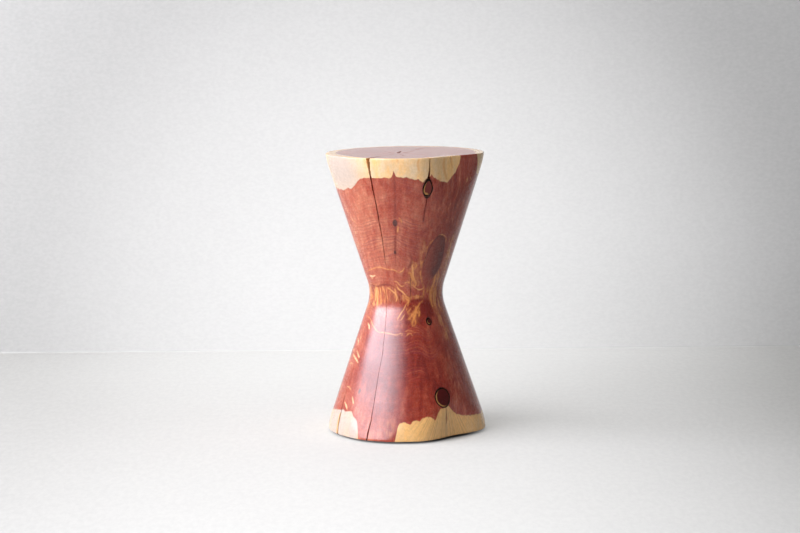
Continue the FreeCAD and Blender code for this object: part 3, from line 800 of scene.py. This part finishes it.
def write_wood_fields(mesh, branches):
    """Works out the wood's structure at every vertex: sapwood depth, growth rings, knots and streaks."""
    places = Places(mesh)
    height, on_side = places.height, places.on_side
    trace = np.interp(height, *TRACE)
    strand = np.exp(-(places.arc(trace) / STRAND_HALF_WIDTH) ** 2)
    strand *= smooth(300, 345, height) * smooth(492, 470, height)
    fields = dict(zip(("knot", "knot_right", "knot_low"), knot_level(places)))
    fields["sap"], fields["ring"] = growth(places, trace, fields["knot"])
    fields |= {
        "pin": np.where(on_side, pin_depth(places, branches), -LINE_REACH),
        "strand": np.where(on_side, strand, 0.0),
        "fan": np.degrees(np.arctan2(places.arc(FAN_AZIMUTH), FAN_HEIGHT - height)),
        "band": band_share(places),
        "top": height > RIM_Z - 0.6,
        # Painted shade that deepens down the side's checks and pockets
        "inside": smooth(3.0, 11.0, places.depth) * (height < RIM_Z - 1.0),
        # Painted shade on the bottom face, which keeps the gap under the log dark
        "under": height < BASE_Z + 0.5,
        "low": smooth(120.0, 80.0, height),
    }
    for name, lines in LINES.items():
        fields[name] = np.where(on_side, line_depth(places, lines), -LINE_REACH)
    for name, zones in ZONES.items():
        fields[name] = np.where(on_side, zone_share(places, zones), 0.0)
    for name, values in fields.items():
        write_field(mesh, name, values)


def cut(piece, cutter_parts, name):
    """Takes the cutters' solid out of a piece."""
    cutter = make_object(name, *merged(cutter_parts))
    boolean = piece.modifiers.new(name, "BOOLEAN")
    boolean.object = cutter
    boolean.operation = "DIFFERENCE"
    boolean.solver = "EXACT"
    depsgraph = bpy.context.evaluated_depsgraph_get()
    cut_mesh = bpy.data.meshes.new_from_object(piece.evaluated_get(depsgraph))
    piece.modifiers.clear()
    old_meshes = piece.data, cutter.data
    piece.data = cut_mesh
    bpy.data.objects.remove(cutter)
    for mesh in old_meshes:
        bpy.data.meshes.remove(mesh)


class Value:
    """Output of a node, which can be added to, multiplied and so on."""

    def __init__(self, shading, socket):
        self.shading, self.socket = shading, socket

    def __add__(self, other):
        return self.shading.math("ADD", self, other)

    def __sub__(self, other):
        return self.shading.math("SUBTRACT", self, other)

    def __rsub__(self, other):
        return self.shading.math("SUBTRACT", other, self)

    def __mul__(self, other):
        return self.shading.math("MULTIPLY", self, other)

    def __truediv__(self, other):
        return self.shading.math("DIVIDE", self, other)

    __radd__, __rmul__ = __add__, __mul__

    def step(self, low, high, out_low=0.0, out_high=1.0):
        """Smooth step from one value to another."""
        values = self, low, high, out_low, out_high
        return self.shading.node("MapRange", values, interpolation_type="SMOOTHSTEP")

    def stir(self, noise, amount):
        """Value moved up and down by a noise."""
        return self + (noise - 0.5) * amount


class Shading:
    """Short forms for writing the nodes of a material or a world."""

    def __init__(self, owner):
        owner.use_nodes = True
        self.owner, self.tree = owner, owner.node_tree

    def put(self, socket, value):
        if isinstance(value, Value):
            self.tree.links.new(value.socket, socket)
        else:
            socket.default_value = (*value, 1.0) if socket.type == "RGBA" else value

    def node(self, kind, values=(), out=0, **settings):
        """One output of a new node, with values for its inputs in order or by key."""
        made = self.tree.nodes.new("ShaderNode" + kind)
        for name, value in settings.items():
            setattr(made, name, value)
        for key, value in values.items() if isinstance(values, dict) else enumerate(values):
            self.put(made.inputs[key], value)
        return Value(self, made.outputs[out])

    def field(self, name):
        return self.node("Attribute", out="Fac", attribute_name=name)

    def math(self, operation, *values):
        return self.node("Math", values, operation=operation)

    def noise(self, size, detail=3.0, roughness=0.55, distortion=0.0, along=1.0, across=(1.0, 1.0)):
        """Noise of a size in millimetres, drawn out along Z and across it."""
        scale = [share / MM for share in (*across, along)]
        place = self.node("VectorMath", (self.node("TexCoord", out="Object"), scale), operation="MULTIPLY")
        values = {"Vector": place, "Scale": 1.0 / size, "Detail": detail, "Roughness": roughness}
        return self.node("TexNoise", {**values, "Distortion": distortion})

    def noise_along(self, value):
        return self.node("TexNoise", {"W": value, "Scale": 1.0, "Detail": 2.0}, noise_dimensions="1D")

    def random(self, value):
        return self.node("TexWhiteNoise", {"W": value}, "Value", noise_dimensions="1D")

    def ramp(self, value, places, tones):
        colour = self.node("ValToRGB", (value,))
        elements = colour.socket.node.color_ramp.elements
        while len(elements) < len(places):
            elements.new(0.5)
        for element, place, tone in zip(elements, places, tones):
            element.position, element.color = place, (*tone, 1.0)
        return colour

    def mix(self, share, a, b):
        return self.node("Mix", {"Factor": share, 6: a, 7: b}, 2, data_type="RGBA")

    def shade(self, colour, value, low, high):
        """Colour made darker or lighter as a value runs from 0 to 1."""
        return self.node("HueSaturation", {"Color": colour, "Value": value * (high - low) + low})

    def bump(self, height, distance, strength, **below):
        values = {"Height": height, "Distance": distance * MM, "Strength": strength, **below}
        return self.node("Bump", values)

    def finish(self, colour, roughness, normal, **constants):
        """Puts a look on the surface. Constants are the shader's own sockets."""
        surface = self.tree.nodes["Principled BSDF"].inputs
        look = {"Base Color": colour, "Roughness": roughness, "Normal": normal}
        for name, value in {**look, **constants}.items():
            self.put(surface[name.replace("_", " ")], value)
        return self.owner


def new_shading(name):
    """Shading of a new material."""
    return Shading(bpy.data.materials.new(name))


# Colours of the wood, as linear shares of red, green and blue
HEART_DARK = (0.166, 0.013, 0.007)
HEART_DEEP = (0.245, 0.025, 0.011)
HEART_RED = (0.328, 0.054, 0.025)
HEART_SALMON = (0.405, 0.104, 0.055)
HEART_ORANGE = (0.520, 0.195, 0.104)
HEART_LATE = (0.190, 0.026, 0.030)
# Pale sapwood colour used as painted light on the lit left
SAP_PAINTED_LIGHT = (0.462, 0.378, 0.316)
SAP_CREAM = (0.715, 0.525, 0.315)
SAP_TAN = (0.780, 0.448, 0.158)
SAP_LATE = (0.500, 0.270, 0.095)
SAP_GREY = (0.450, 0.325, 0.190)
GOLD_PALE = (0.680, 0.315, 0.108)
GOLD_DEEP = (0.520, 0.185, 0.058)
GOLD_BROWN = (0.250, 0.064, 0.028)
GOLD_WASHED = (0.540, 0.205, 0.080)
AMBER = (0.600, 0.225, 0.058)
AMBER_EDGE = (0.310, 0.075, 0.022)
HONEY = (0.660, 0.320, 0.100)
KNOT_HEART = (0.105, 0.010, 0.007)
KNOT_EDGE = (0.235, 0.036, 0.018)
# Pin knots and dark marks, and also painted shade deep in the checks and on the bottom face
DARK_MARK_AND_SHADE = (0.036, 0.010, 0.010)
GILD_DARK = (0.22, 0.10, 0.035)
GILD_PALE = (0.52, 0.27, 0.09)
BARK_TONES = ((0.006, 0.004, 0.003), (0.011, 0.007, 0.005), (0.030, 0.016, 0.009))
BARK_CRUMB = (0.30, 0.13, 0.09)
HEART_TONES = (HEART_DARK, HEART_DEEP, HEART_RED, HEART_SALMON, HEART_ORANGE)
RING_WIDTH = 2.35
SATIN_ROUGHNESS = 0.232


def cedar_noises(s):
    """Noises that several layers of the cedar share."""
    return SimpleNamespace(
        cloud=s.noise(60.0, 2.0),
        grain=s.noise(1.5, 4.0, 0.6, along=0.045),
        broad=s.noise(9.0, along=0.07),
        patch=s.noise(15.0, 4.0, 0.6, 0.7, along=0.6),
        waver=s.noise(7.0, 3.0, 0.5, along=0.5),
        crumb=s.noise(2.6, along=0.5),
        fleck=s.noise(3.6, 2.0, 0.6, along=0.5),
        threads=s.noise(6.0, 4.0, 0.65, 0.4, along=0.07),
    )


def growth_rings(s, n):
    """Each ring's own tone, its orange start and the dark line of latewood in which it ends."""
    ring = s.field("ring")
    sway = n.waver * 0.6 + (s.noise(26.0, 2.0) * 3.4 - 1.7)
    phase = (ring + (s.noise_along(ring * 0.21) * 3.0 + sway)) / RING_WIDTH
    tone, part = s.random(s.math("FLOOR", phase)), s.math("FRACT", phase)
    clear = (s.noise(38.0, 2.0) + s.field("clear")).step(0.40, 0.95, 0.25, 1.0)
    clear = clear * n.grain.step(0.25, 0.55, 0.7, 1.0)
    early = part.step(0.34, 0.06) * clear * tone
    late = part.step(0.15, 0.62) * part.step(1.0, 0.66) * (tone * 0.6 + 0.4) * clear
    return tone, early, late


def heartwood(s, n, tone, early, late):
    """Red heartwood with its rings, streaks and darker bands."""
    mood = n.broad * 0.40 + n.cloud * 0.24 + n.patch * 0.10 + tone * 0.06 + s.field("tone") + 0.07
    heart = s.ramp(mood, (0.30, 0.385, 0.47, 0.56, 0.69), HEART_TONES)
    heart = s.mix(early * (s.field("arcs") * 0.34 + 0.14), heart, HEART_ORANGE)
    heart = s.mix(late * 0.78, heart, HEART_LATE)
    thready = (HEART_DARK, HEART_DEEP, HEART_RED, HEART_ORANGE)
    heart = s.mix(s.field("thready"), heart, s.ramp(n.threads, (0.40, 0.48, 0.55, 0.65), thready))
    heart = s.mix(s.field("band"), heart, HEART_DEEP)
    heart = s.mix(s.field("strand") * n.broad.step(0.30, 0.65) * 0.55, heart, HEART_DARK)
    return s.shade(s.shade(heart, n.grain, 0.84, 1.16), n.fleck, 0.58, 1.42)


def burl_figure(s, n, heart):
    """Bent bands of gold, orange and brown over a wash of orange, then straight gold grain."""
    washed = s.field("wash") * n.patch.step(0.30, 0.55, 0.55, 1.0)
    heart = s.mix(washed, heart, s.shade(GOLD_WASHED, n.broad, 0.6, 1.4))
    flame = n.crumb * 0.05 + s.noise(22.0, 2.0, 0.45, 0.9, along=0.42)
    bands = s.math("PINGPONG", flame * 8.5, 1.0).stir(n.crumb, 0.5)
    figure = s.ramp(bands, (0.05, 0.28, 0.55, 0.95), (GOLD_BROWN, HEART_RED, GOLD_DEEP, GOLD_PALE))
    swirl = s.field("swirl")
    share = swirl.stir(n.patch, 1.5).step(0.15, 0.75, 0.0, 0.88) * swirl.step(0.02, 0.25)
    heart = s.mix(share, heart, figure)
    strip = s.noise(6.2, 4.0, 0.6, 0.6, along=0.11)
    tones = (HEART_DEEP, GOLD_BROWN, HEART_RED, GOLD_DEEP, GOLD_PALE)
    straight = s.ramp(strip, (0.34, 0.42, 0.47, 0.53, 0.63), tones)
    return s.mix(s.field("streak").step(0.08, 0.65) * 0.85, heart, straight)


def live_knots(s, n, heart):
    """The large grown-in knots: a dark body in a halo of deep red, soft at the lower left."""
    right = s.field("knot_right")
    body = s.field("knot").stir(n.patch, 0.14).stir(n.waver, 0.08)
    colour = s.mix(right.stir(n.broad, 2.0).step(-0.9, 0.7), KNOT_EDGE, KNOT_HEART)
    colour = s.mix(n.crumb.step(0.66, 0.76, 0.0, 0.5), colour, HEART_SALMON)
    heart = s.mix(body.step(1.75, 1.05, 0.0, 0.55), heart, HEART_DEEP)
    soft = s.field("knot_low") * right.step(0.6, -0.2)
    heart = s.mix(body.step(soft * 0.08 + 1.03, 0.90 - soft * 0.40), heart, colour)
    outline = body.step(0.84, 0.94) * body.step(1.06, 0.97)
    return s.mix(outline * (0.8 - soft * 0.8), heart, KNOT_HEART)


def drawn_strands(s, n, heart):
    """Amber strands, gold lines and cream flecks."""
    amber = s.field("amber").stir(n.waver, 4.0).stir(n.crumb, 4.5).stir(n.threads, 7.0)
    colour = s.shade(s.mix(amber.step(-1.5, 2.2), AMBER_EDGE, AMBER), n.crumb, 0.7, 1.3)
    heart = s.mix(amber.step(-2.2, 1.4, 0.0, 0.85), heart, s.shade(colour, n.grain, 0.7, 1.3))
    gold = s.field("gold").stir(n.waver, 2.0).stir(n.crumb, 1.8)
    colour = s.mix(gold.step(-0.3, 1.2), GOLD_DEEP, GOLD_PALE)
    heart = s.mix(gold.step(-1.2, 0.8, 0.0, 0.9), heart, colour)
    cream = s.field("cream").stir(n.crumb, 4.0)
    return s.mix(cream.step(-1.2, 0.8), heart, s.mix(cream.step(-0.4, 1.2), GOLD_DEEP, SAP_CREAM))


def sapwood(s, n, late):
    """Cream to tan sapwood with its rays, stains and honey-coloured streaks, and painted light and shade."""
    tan = s.field("low") * 0.22 + n.patch * 0.9 + n.broad * 0.8
    pale = s.mix(tan * 2.2 - 1.45, SAP_CREAM, SAP_TAN)
    # Painted light and shade: the sapwood turns paler towards the lit left and tanner towards the shaded
    # right
    painted_sap_light = s.field("painted_sap_light")
    pale = s.mix(painted_sap_light.step(0.0, 1.0), pale, SAP_PAINTED_LIGHT)
    pale = s.mix(painted_sap_light.step(0.0, -1.0), pale, SAP_TAN)
    pale = s.mix(late * 0.30, pale, SAP_LATE)
    rays = s.noise_along(s.field("fan") * 0.5).step(0.46, 0.60)
    pale = s.mix(rays * s.field("fanned") * 0.75, pale, SAP_LATE)
    pale = s.shade(s.shade(pale, n.grain, 0.88, 1.12), n.fleck, 0.82, 1.18)
    pale = s.shade(pale, n.broad, 0.93, 1.07)
    pale = s.mix(s.field("stain") * n.broad.step(0.35, 0.6, 0.3, 1.0), pale, SAP_GREY)
    return s.mix(s.field("honey").stir(n.grain, 3.0).step(-1.6, 1.6, 0.0, 0.75), pale, HONEY)


def cedar_material():
    """Red cedar under a satin finish: heartwood and sapwood, dark marks, pin knots, painted shade in checks
    and below.
    """
    s = new_shading("cedar")
    n = cedar_noises(s)
    tone, early, late = growth_rings(s, n)
    heart = heartwood(s, n, tone, early, late)
    for layer in (burl_figure, live_knots, drawn_strands):
        heart = layer(s, n, heart)
    top = s.field("top")
    edge = (s.field("sap") + (n.waver * 2.6 - 1.3)) * top.step(0.0, 1.0, 1.0, 0.1)
    wood = s.mix(edge.step(-0.3, 0.4), heart, sapwood(s, n, late))
    wood = s.mix(s.field("dark").stir(n.waver, 4.0).step(-1.8, 1.8, 0.0, 0.76), wood, HEART_DARK)
    wood = s.mix(s.field("pin").stir(n.crumb, 1.6).step(-0.6, 0.8, 0.0, 0.85), wood, DARK_MARK_AND_SHADE)
    # Painted shade deep in the checks and pockets
    wood = s.mix(s.field("inside") * 0.75, wood, DARK_MARK_AND_SHADE)
    # Painted shade on the bottom face
    wood = s.mix(s.field("under"), wood, DARK_MARK_AND_SHADE)

    pores = s.noise(0.55, 2.0, 0.5, along=0.08)
    rough = (pores * 0.06 + n.patch * 0.02 + SATIN_ROUGHNESS) * top.step(0.2, 0.8, 1.0, 0.6)
    normal = s.bump(late * 0.6 + pores * 0.5, 0.06, 0.35)
    normal = s.bump(s.noise(24.0, 2.0), 1.0, 0.07, Normal=normal)
    return s.finish(wood, rough, normal, Specular_IOR_Level=0.58)


def knot_material(name, early, late):
    """Dead branch wood: a dark heart with a thin gold edge."""
    s = new_shading(name)
    waver = s.noise(3.0)
    ring = s.math("FRACT", (s.field("level") + waver * 0.06) * 7.0)
    heart = s.shade(s.mix(ring.step(0.35, 0.95), early, late), s.noise(0.9), 0.7, 1.3)
    edge = s.field("edge").stir(waver, 1.2).step(1.15, 0.75)
    gold = s.mix(s.noise(1.2, 2.0), GILD_DARK, GILD_PALE)
    colour = s.mix(edge * (s.field("gild") * 0.75 + 0.25), heart, gold)
    normal = s.bump(s.noise(0.8, 4.0), 0.25, 0.4)
    return s.finish(colour, waver * 0.2 + 0.35, normal, Specular_IOR_Level=0.12)


def bark_material():
    """Black, crumbly bark left round a dead branch."""
    s = new_shading("bark")
    lumps = s.noise(1.6, 5.0, 0.65)
    crumbs = s.noise(3.0, 2.0).step(0.50, 0.60) * s.field("loose")
    colour = s.mix(crumbs * 0.85, s.ramp(lumps, (0.35, 0.60, 0.78), BARK_TONES), BARK_CRUMB)
    return s.finish(colour, 0.8, s.bump(lumps, 0.9, 0.8), Specular_IOR_Level=0.08)


def plain_material(name, colour, roughness, grain, depth, **constants):
    """Moulded, pressed or drawn material with a fine uneven surface."""
    s = new_shading(name)
    speckle = s.noise(grain, 4.0, 0.6)
    tone = s.shade(colour, s.noise(9.0 * grain) * 0.5 + speckle * 0.5, 0.7, 1.3)
    return s.finish(tone, speckle * 0.15 + (roughness - 0.07), s.bump(speckle, depth, 0.5), **constants)


def wear(piece, material):
    """Gives a piece one material."""
    piece.data.materials.clear()
    piece.data.materials.append(material)


def take_place(piece, node, material):
    """Puts a piece where a CAD node was."""
    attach(piece, "root")
    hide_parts(node)
    wear(piece, material)


def build_stump():
    """The log with its checks and knot pockets cut, then its encased knots."""
    check_seed, top_seed, wood_seed, bark_seed = SEEDS
    branches = {name: Branch(*sizes) for name, sizes in KNOTS.items()}
    stump = make_object("cedar_stump", *stump_shell())
    blades = [blade(stations, check_seed + index) for index, stations in enumerate(CHECKS)]
    blades += [top_blade(*sizes, top_seed + index) for index, sizes in enumerate(TOP_CHECKS)]
    cut(stump, blades, "check_blades")
    cut(stump, [knot_pocket(branch) for branch in branches.values()], "knot_pockets")
    stump.data.shade_smooth()
    stump.data.set_sharp_from_angle(angle=math.radians(STUMP_SHARP_DEG))
    write_wood_fields(stump.data, branches.values())
    take_place(stump, "stump_body", cedar_material())
    maroon = knot_material("knot_maroon", (0.085, 0.009, 0.008), (0.034, 0.004, 0.004))
    brown = knot_material("knot_brown", (0.165, 0.034, 0.026), (0.085, 0.016, 0.014))
    bark = bark_material()
    for index, (name, branch) in enumerate(branches.items()):
        wood = brown if name == "rim_knot" else maroon
        take_place(knot_wood(name + "_stub", branch, wood_seed + index), name, wood)
        take_place(knot_bark(name + "_sleeve", branch, bark_seed + index), name + "_bark", bark)


def build_feet():
    """Glides, felts and nails keep their CAD shapes and get their finish."""
    nylon = plain_material("nylon", (0.022, 0.017, 0.014), 0.45, 0.8, 0.05)
    felt = plain_material("felt", (0.018, 0.015, 0.013), 0.95, 0.35, 0.4)
    steel = plain_material("steel", (0.55, 0.54, 0.52), 0.32, 0.3, 0.02, Metallic=1.0)
    for foot in ("front", "right", "rear", "left"):
        wear(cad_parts["glide_" + foot], nylon)
        wear(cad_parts["felt_" + foot], felt)
    wear(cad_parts["glide_nails"], steel)


# The camera: distances in millimetres, and the point at the middle of the picture as X and Z
CAMERA_LENS = 105.0
CAMERA_SENSOR = 36.0
CAMERA_CLIP_END = 100.0
CAMERA_DISTANCE = 4203.0
CAMERA_RISE_DEG = 4.7
AIM = (-10.6, 299.6)
ROLL_DEG = 0.5
# The room: a floor that turns up into a wall, and window light from the front left, in metres
WALL_Y = 0.87
SWEEP_RADIUS = 0.004
ROOM_HALF = 30.0
WALL_HEIGHT = 5.0
BACK_FLOOR_Z = -0.0005
FLOOR_COLOUR = (0.453, 0.453, 0.418)
WALL_COLOUR = (0.440, 0.442, 0.416)
# Glow of the floor and wall: its strength at places, how it falls to the sides and up, and where it ends.
# Its end under the table is a painted contact shadow, and its dip along the crease painted shade
FLOOR_GLOW = 0.31
CORNER_GLOW = 0.42
WALL_GLOW_FALL = 0.42
WALL_FALL_END = 0.8
GLOW_CENTRE = 0.03
GLOW_FALL = 0.58
GLOW_FALL_END = 0.95
GLOW_BLEND = 0.15
FAR_GLOW = 0.42
FAR_SPAN = (2.2, 5.0)
FAR_WALL_CUT = 0.7
SIDE_GLOW = 0.10
SIDE_SPAN = (1.15, 2.4)
PAINTED_CREASE_SHADE = 0.34
PAINTED_CONTACT_SHADOW = (0.118, 0.150)
LAMP_AIM = (0.0, 0.0, 0.25)
WINDOW_REACH = 4.2
# Windows: azimuth, height angle, width and height in metres, radiance
WINDOWS = (
    (-91.5, 20.8, 1.6, 0.85, 22), (-73, 23.9, 1.03, 0.9, 21), (-58.5, 26.3, 1.1, 0.95, 19.5),
    (-44, 28.4, 1.03, 1.4, 14.5), (-31, 30.2, 0.88, 1.6, 9), (-20, 31.8, 0.73, 1.8, 5.2),
    (-10, 32.6, 0.73, 2.2, 2.2),
)
WINDOW_COLOUR = (0.965, 0.955, 1.055)
# The world's light, darker towards one side
DARK_SIDE = (0.72, -0.66, 0.2)
DARK_SPAN = (-0.35, 0.55)
ROOM_LIGHT = 0.34
DARK_LIGHT = 0.20
WHITE = (1.0, 1.0, 1.0)


def build_camera():
    """Camera of the photo: long lens, a little above the table's top, rolled by half a degree."""
    camera = bpy.data.objects.new("camera", bpy.data.cameras.new("camera"))
    bpy.context.scene.collection.objects.link(camera)
    camera.data.lens = CAMERA_LENS
    camera.data.sensor_width = CAMERA_SENSOR
    camera.data.clip_end = CAMERA_CLIP_END
    high = RIM_Z + CAMERA_DISTANCE * math.tan(math.radians(CAMERA_RISE_DEG))
    place = Vector((AIM[0], -CAMERA_DISTANCE, high)) * MM
    ahead = (Vector((AIM[0], 0.0, AIM[1])) * MM - place).normalized()
    level = Vector((1.0, 0.0, 0.0))
    above = level.cross(ahead)
    roll = math.radians(ROLL_DEG)
    right = level * math.cos(roll) - above * math.sin(roll)
    up = level * math.sin(roll) + above * math.cos(roll)
    turn = Matrix((right, up, -ahead)).transposed().to_4x4()
    camera.matrix_world = Matrix.Translation(place) @ turn
    bpy.context.scene.camera = camera


def sheet(name, profile, material):
    """Stage sheet: a (y, z) profile in metres drawn out along X."""
    vertices = [(side * ROOM_HALF, y, z) for y, z in profile for side in (-1, 1)]
    faces = [(2 * k, 2 * k + 1, 2 * k + 3, 2 * k + 2) for k in range(len(profile) - 1)]
    mesh = bpy.data.meshes.new(name)
    mesh.from_pydata(vertices, [], faces)
    mesh.shade_smooth()
    mesh.materials.append(material)
    piece = bpy.data.objects.new(name, mesh)
    bpy.context.scene.collection.objects.link(piece)
    return piece


def sweep_material():
    """Pale painted floor and wall, seen from the room's side only.

    Part of their paleness is a glow that only the camera and reflections see, so it doesn't light the table.
    """
    s = new_shading("studio")
    place = s.node("TexCoord", out="Object")
    x, y, z = (s.node("SeparateXYZ", (place,), axis) for axis in "XYZ")
    up_wall = z.step(0.0, SWEEP_RADIUS)
    tone = s.mix(up_wall, FLOOR_COLOUR, WALL_COLOUR)
    tone = s.shade(tone, s.noise(160.0, 4.0, 0.6), 0.975, 1.025)
    specks = s.noise(6.0, 4.0, 0.7, across=(0.6, 0.25))
    tone = s.shade(tone, specks.step(0.3, 0.7), 0.955, 1.045)

    from_axis = s.math("SQRT", x * x + y * y)
    aside = s.math("MINIMUM", s.math("ABSOLUTE", x - GLOW_CENTRE), GLOW_FALL_END)
    rise = s.math("MINIMUM", z, WALL_FALL_END)
    bow = aside * aside * GLOW_FALL
    on_floor = y.step(0.0, WALL_Y, FLOOR_GLOW, CORNER_GLOW) - bow
    # The glow stops under the table: a painted contact shadow that keeps the gap under the log dark
    on_floor = s.math("SMOOTH_MAX", on_floor, 0.0, GLOW_BLEND) * from_axis.step(*PAINTED_CONTACT_SHADOW)
    on_wall = s.math("SMOOTH_MAX", CORNER_GLOW - rise * rise * WALL_GLOW_FALL - bow, 0.0, GLOW_BLEND)
    glow = on_floor + up_wall * (on_wall - on_floor)
    glow = glow + from_axis.step(*FAR_SPAN, 0.0, FAR_GLOW) * (1.0 - up_wall * FAR_WALL_CUT)
    glow = glow + x.step(*SIDE_SPAN, 0.0, SIDE_GLOW)
    # Painted shade: the glow dips along the crease between floor and wall
    glow = s.math("MAXIMUM", glow - up_wall * (1.0 - up_wall) * PAINTED_CREASE_SHADE, 0.0)
    rays = [s.node("LightPath", out="Is %s Ray" % kind) for kind in ("Camera", "Glossy", "Transmission")]
    shine = {"Emission_Color": WHITE, "Emission_Strength": glow * s.math("MINIMUM", sum(rays), 1.0)}
    material = s.finish(tone, 0.75, s.bump(s.noise(7.0, 4.0), 0.5, 0.15), Specular_IOR_Level=0.2, **shine)
    nodes = s.tree.nodes
    sides = Value(s, nodes["Principled BSDF"].outputs[0]), s.node("BsdfTransparent")
    sided = s.node("MixShader", (s.node("NewGeometry", out="Backfacing"), *sides))
    s.put(nodes["Material Output"].inputs["Surface"], sided)
    return material


def build_room():
    """Floor and wall in one sweep, and more floor behind it for views from the back."""
    material = sweep_material()
    angles = np.radians(np.linspace(0.0, 90.0, 13))
    curve = [(WALL_Y - SWEEP_RADIUS * (1 - math.sin(t)), SWEEP_RADIUS * (1 - math.cos(t))) for t in angles]
    sweep = sheet("studio_sweep", [(-ROOM_HALF, 0.0)] + curve + [(WALL_Y, WALL_HEIGHT)], material)
    sweep.visible_shadow = False
    sheet("studio_floor_back", [(WALL_Y - SWEEP_RADIUS, BACK_FLOOR_Z), (ROOM_HALF, BACK_FLOOR_Z)], material)


def window(name, azimuth_deg, rise_deg, width, height, radiance):
    """Rectangular area lamp at an azimuth and a height angle, turned to the table."""
    data = bpy.data.lights.new(name, "AREA")
    data.shape = "RECTANGLE"
    data.size, data.size_y = width, height
    data.energy = radiance * math.pi * width * height
    data.color = WINDOW_COLOUR
    light = bpy.data.objects.new(name, data)
    bpy.context.scene.collection.objects.link(light)
    rise = math.radians(rise_deg)
    away = Vector(outward(np.array(azimuth_deg, float))) * math.cos(rise) + Vector(UP) * math.sin(rise)
    light.location = Vector(LAMP_AIM) + WINDOW_REACH * away
    light.visible_camera = False
    light.rotation_euler = (-away).to_track_quat("-Z", "Y").to_euler()


def build_light():
    """A row of windows along the left, dimmer and taller to the front, and a room darkest to the right."""
    for number, sizes in enumerate(WINDOWS, 1):
        window("window_%d" % number, *sizes)
    world = bpy.data.worlds.new("room")
    bpy.context.scene.world = world
    s = Shading(world)
    ahead = s.node("TexCoord", out="Generated")
    facing = s.node("VectorMath", (ahead, DARK_SIDE), "Value", operation="DOT_PRODUCT")
    background = s.tree.nodes["Background"].inputs
    s.put(background["Color"], WHITE)
    s.put(background["Strength"], facing.step(*DARK_SPAN, ROOM_LIGHT, DARK_LIGHT))


bpy.context.scene.view_settings.view_transform = "Standard"
build_stump()
build_feet()
build_camera()
build_room()
build_light()
